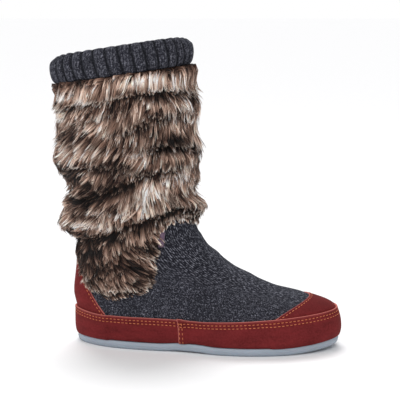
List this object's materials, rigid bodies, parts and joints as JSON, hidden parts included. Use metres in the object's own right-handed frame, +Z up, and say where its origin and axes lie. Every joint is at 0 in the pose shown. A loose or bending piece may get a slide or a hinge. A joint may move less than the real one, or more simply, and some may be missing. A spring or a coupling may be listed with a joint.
{
  "type": "slipper boot",
  "caption": "Soft boot for one right foot: knitted foot and shaft on a thin rubber outsole, suede rand, toe cap and heel counter, slouched fur sleeve and ribbed cuff.",
  "frame": {"origin": "on the floor at the middle of the heel's flat rest face", "axes": "+Z up, +X towards the toe, +Y towards the wearer's inner side"},
  "size_m": [0.2834, 0.1143, 0.296],
  "materials": {
    "outsole_rubber": "matt moulded rubber, pale blue grey",
    "insole_felt": "grey wool felt",
    "wool_knit": "charcoal marl wool knit",
    "suede": "dark red brushed suede with tan stitching",
    "faux_fur": "long pile, brown with cream tips",
    "rib_knit": "thick ribbed charcoal wool knit"
  },
  "bodies": {
    "root": {"outsole": "outsole_rubber", "insole": "insole_felt", "knit_upper": "wool_knit", "toe_cap": "suede", "heel_counter": "suede", "rand_rear": "suede", "rand_front": "suede", "fur_sleeve": "faux_fur", "rib_cuff": "rib_knit"}
  },
  "joints": []
}
